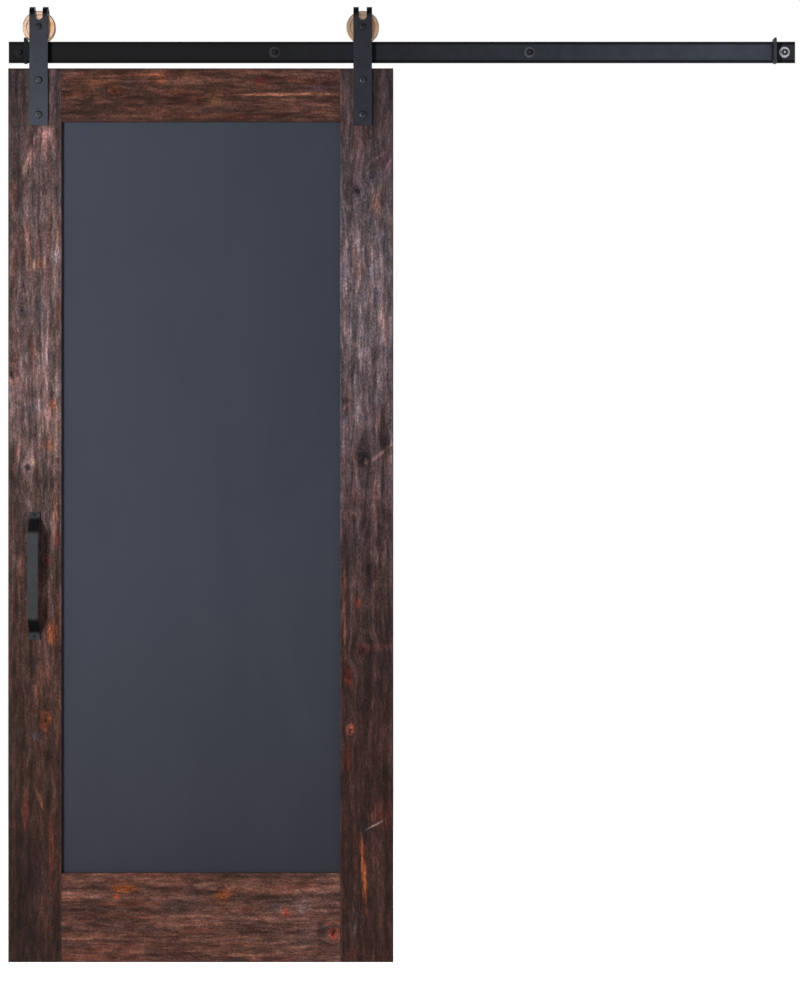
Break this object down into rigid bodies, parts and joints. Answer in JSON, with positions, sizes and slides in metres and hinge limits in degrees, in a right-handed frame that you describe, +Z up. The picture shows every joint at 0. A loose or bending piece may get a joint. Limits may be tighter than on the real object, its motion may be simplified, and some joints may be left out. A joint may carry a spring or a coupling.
{
  "type": "sliding barn door",
  "caption": "Sliding barn door with a stained wood frame and slate-coloured panel, hung by slotted straps and grooved wheels on a flat steel track with end stops and a bent flat pull.",
  "frame": {"origin": "middle of the row of wall bolts, in the face of the wall", "axes": "+X along the track to the right as seen from the room, +Y from the room into the wall, +Z up"},
  "size_m": [1.8796, 0.1581, 2.2819],
  "materials": {
    "stained_wood": "dark stain over coarse softwood grain, satin",
    "slate_paint": "matte slate-coloured chalkboard paint on board",
    "black_steel": "matte black powder coat",
    "zinc_steel": "bright zinc plate",
    "brass": "turned, warm bronze tone",
    "rubber": "matte black"
  },
  "bodies": {
    "track": {"track_rail": "black_steel", "track_standoffs": "black_steel", "track_lag_bolts": "black_steel", "track_washers": "black_steel", "end_washer": "zinc_steel", "left_end_stop": "black_steel", "right_end_stop": "black_steel", "left_stop_pad": "rubber", "right_stop_pad": "rubber", "stop_set_screws": "black_steel"},
    "door": {"left_stile": "stained_wood", "right_stile": "stained_wood", "top_rail": "stained_wood", "bottom_rail": "stained_wood", "chalkboard_panel": "slate_paint", "left_hanger_strap": "black_steel", "right_hanger_strap": "black_steel", "hanger_bolts": "black_steel", "barrel_nuts": "black_steel", "axle_bolts": "black_steel", "axle_nuts": "black_steel", "axle_spacers": "zinc_steel", "left_bearing_inner_ring": "zinc_steel", "right_bearing_inner_ring": "zinc_steel", "door_pull": "black_steel", "pull_screws": "black_steel"},
    "left_roller": {"left_wheel": "brass", "left_bearing_outer_ring": "zinc_steel"},
    "right_roller": {"right_wheel": "brass", "right_bearing_outer_ring": "zinc_steel"}
  },
  "joints": [
    {"name": "door_slide", "type": "slide", "parent": "track", "child": "door", "axis": [1, 0, 0], "range_m": [0, 0.9529]},
    {"name": "left_wheel_spin", "type": "hinge", "parent": "door", "child": "left_roller", "pos_m": [-0.86677, -0.04125, 0.05905], "axis": [0, 1, 0], "continuous": true},
    {"name": "right_wheel_spin", "type": "hinge", "parent": "door", "child": "right_roller", "pos_m": [-0.09362, -0.04125, 0.05905], "axis": [0, 1, 0], "continuous": true}
  ],
  "couplings": [
    {"joint": "left_wheel_spin", "follows": "door_slide", "rad_per_m": 29.851},
    {"joint": "right_wheel_spin", "follows": "door_slide", "rad_per_m": 29.851}
  ]
}
